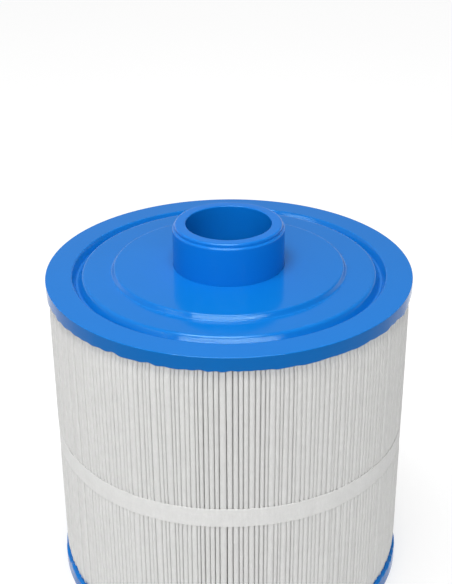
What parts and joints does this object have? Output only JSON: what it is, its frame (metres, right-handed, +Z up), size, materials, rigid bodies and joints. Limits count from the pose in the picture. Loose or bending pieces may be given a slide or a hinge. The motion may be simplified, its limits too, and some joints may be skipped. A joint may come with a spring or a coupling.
{
  "type": "filter cartridge",
  "caption": "Round pleated water filter cartridge with moulded end caps and a short open collar on top, for a pool or spa filter.",
  "frame": {"origin": "centre of the underside of the bottom end cap, the face that the cartridge stands on", "axes": "+Z up the cartridge's own axis towards the outlet spigot; +X through the media's seam"},
  "size_m": [0.216, 0.216, 0.2286],
  "materials": {
    "cap_polyurethane": "gloss",
    "spigot_plastic": "gloss",
    "core_plastic": "satin",
    "polyester_media": "matte",
    "polyester_band": "matte",
    "hot_melt": "satin"
  },
  "bodies": {
    "root": {"top_end_cap": "cap_polyurethane", "bottom_end_cap": "cap_polyurethane", "outlet_spigot": "spigot_plastic", "core_section_1": "core_plastic", "core_section_2": "core_plastic", "core_section_3": "core_plastic", "core_section_4": "core_plastic", "core_plug": "core_plastic", "pleated_media": "polyester_media", "pleat_band": "polyester_band", "seam_bead": "hot_melt"}
  },
  "joints": []
}
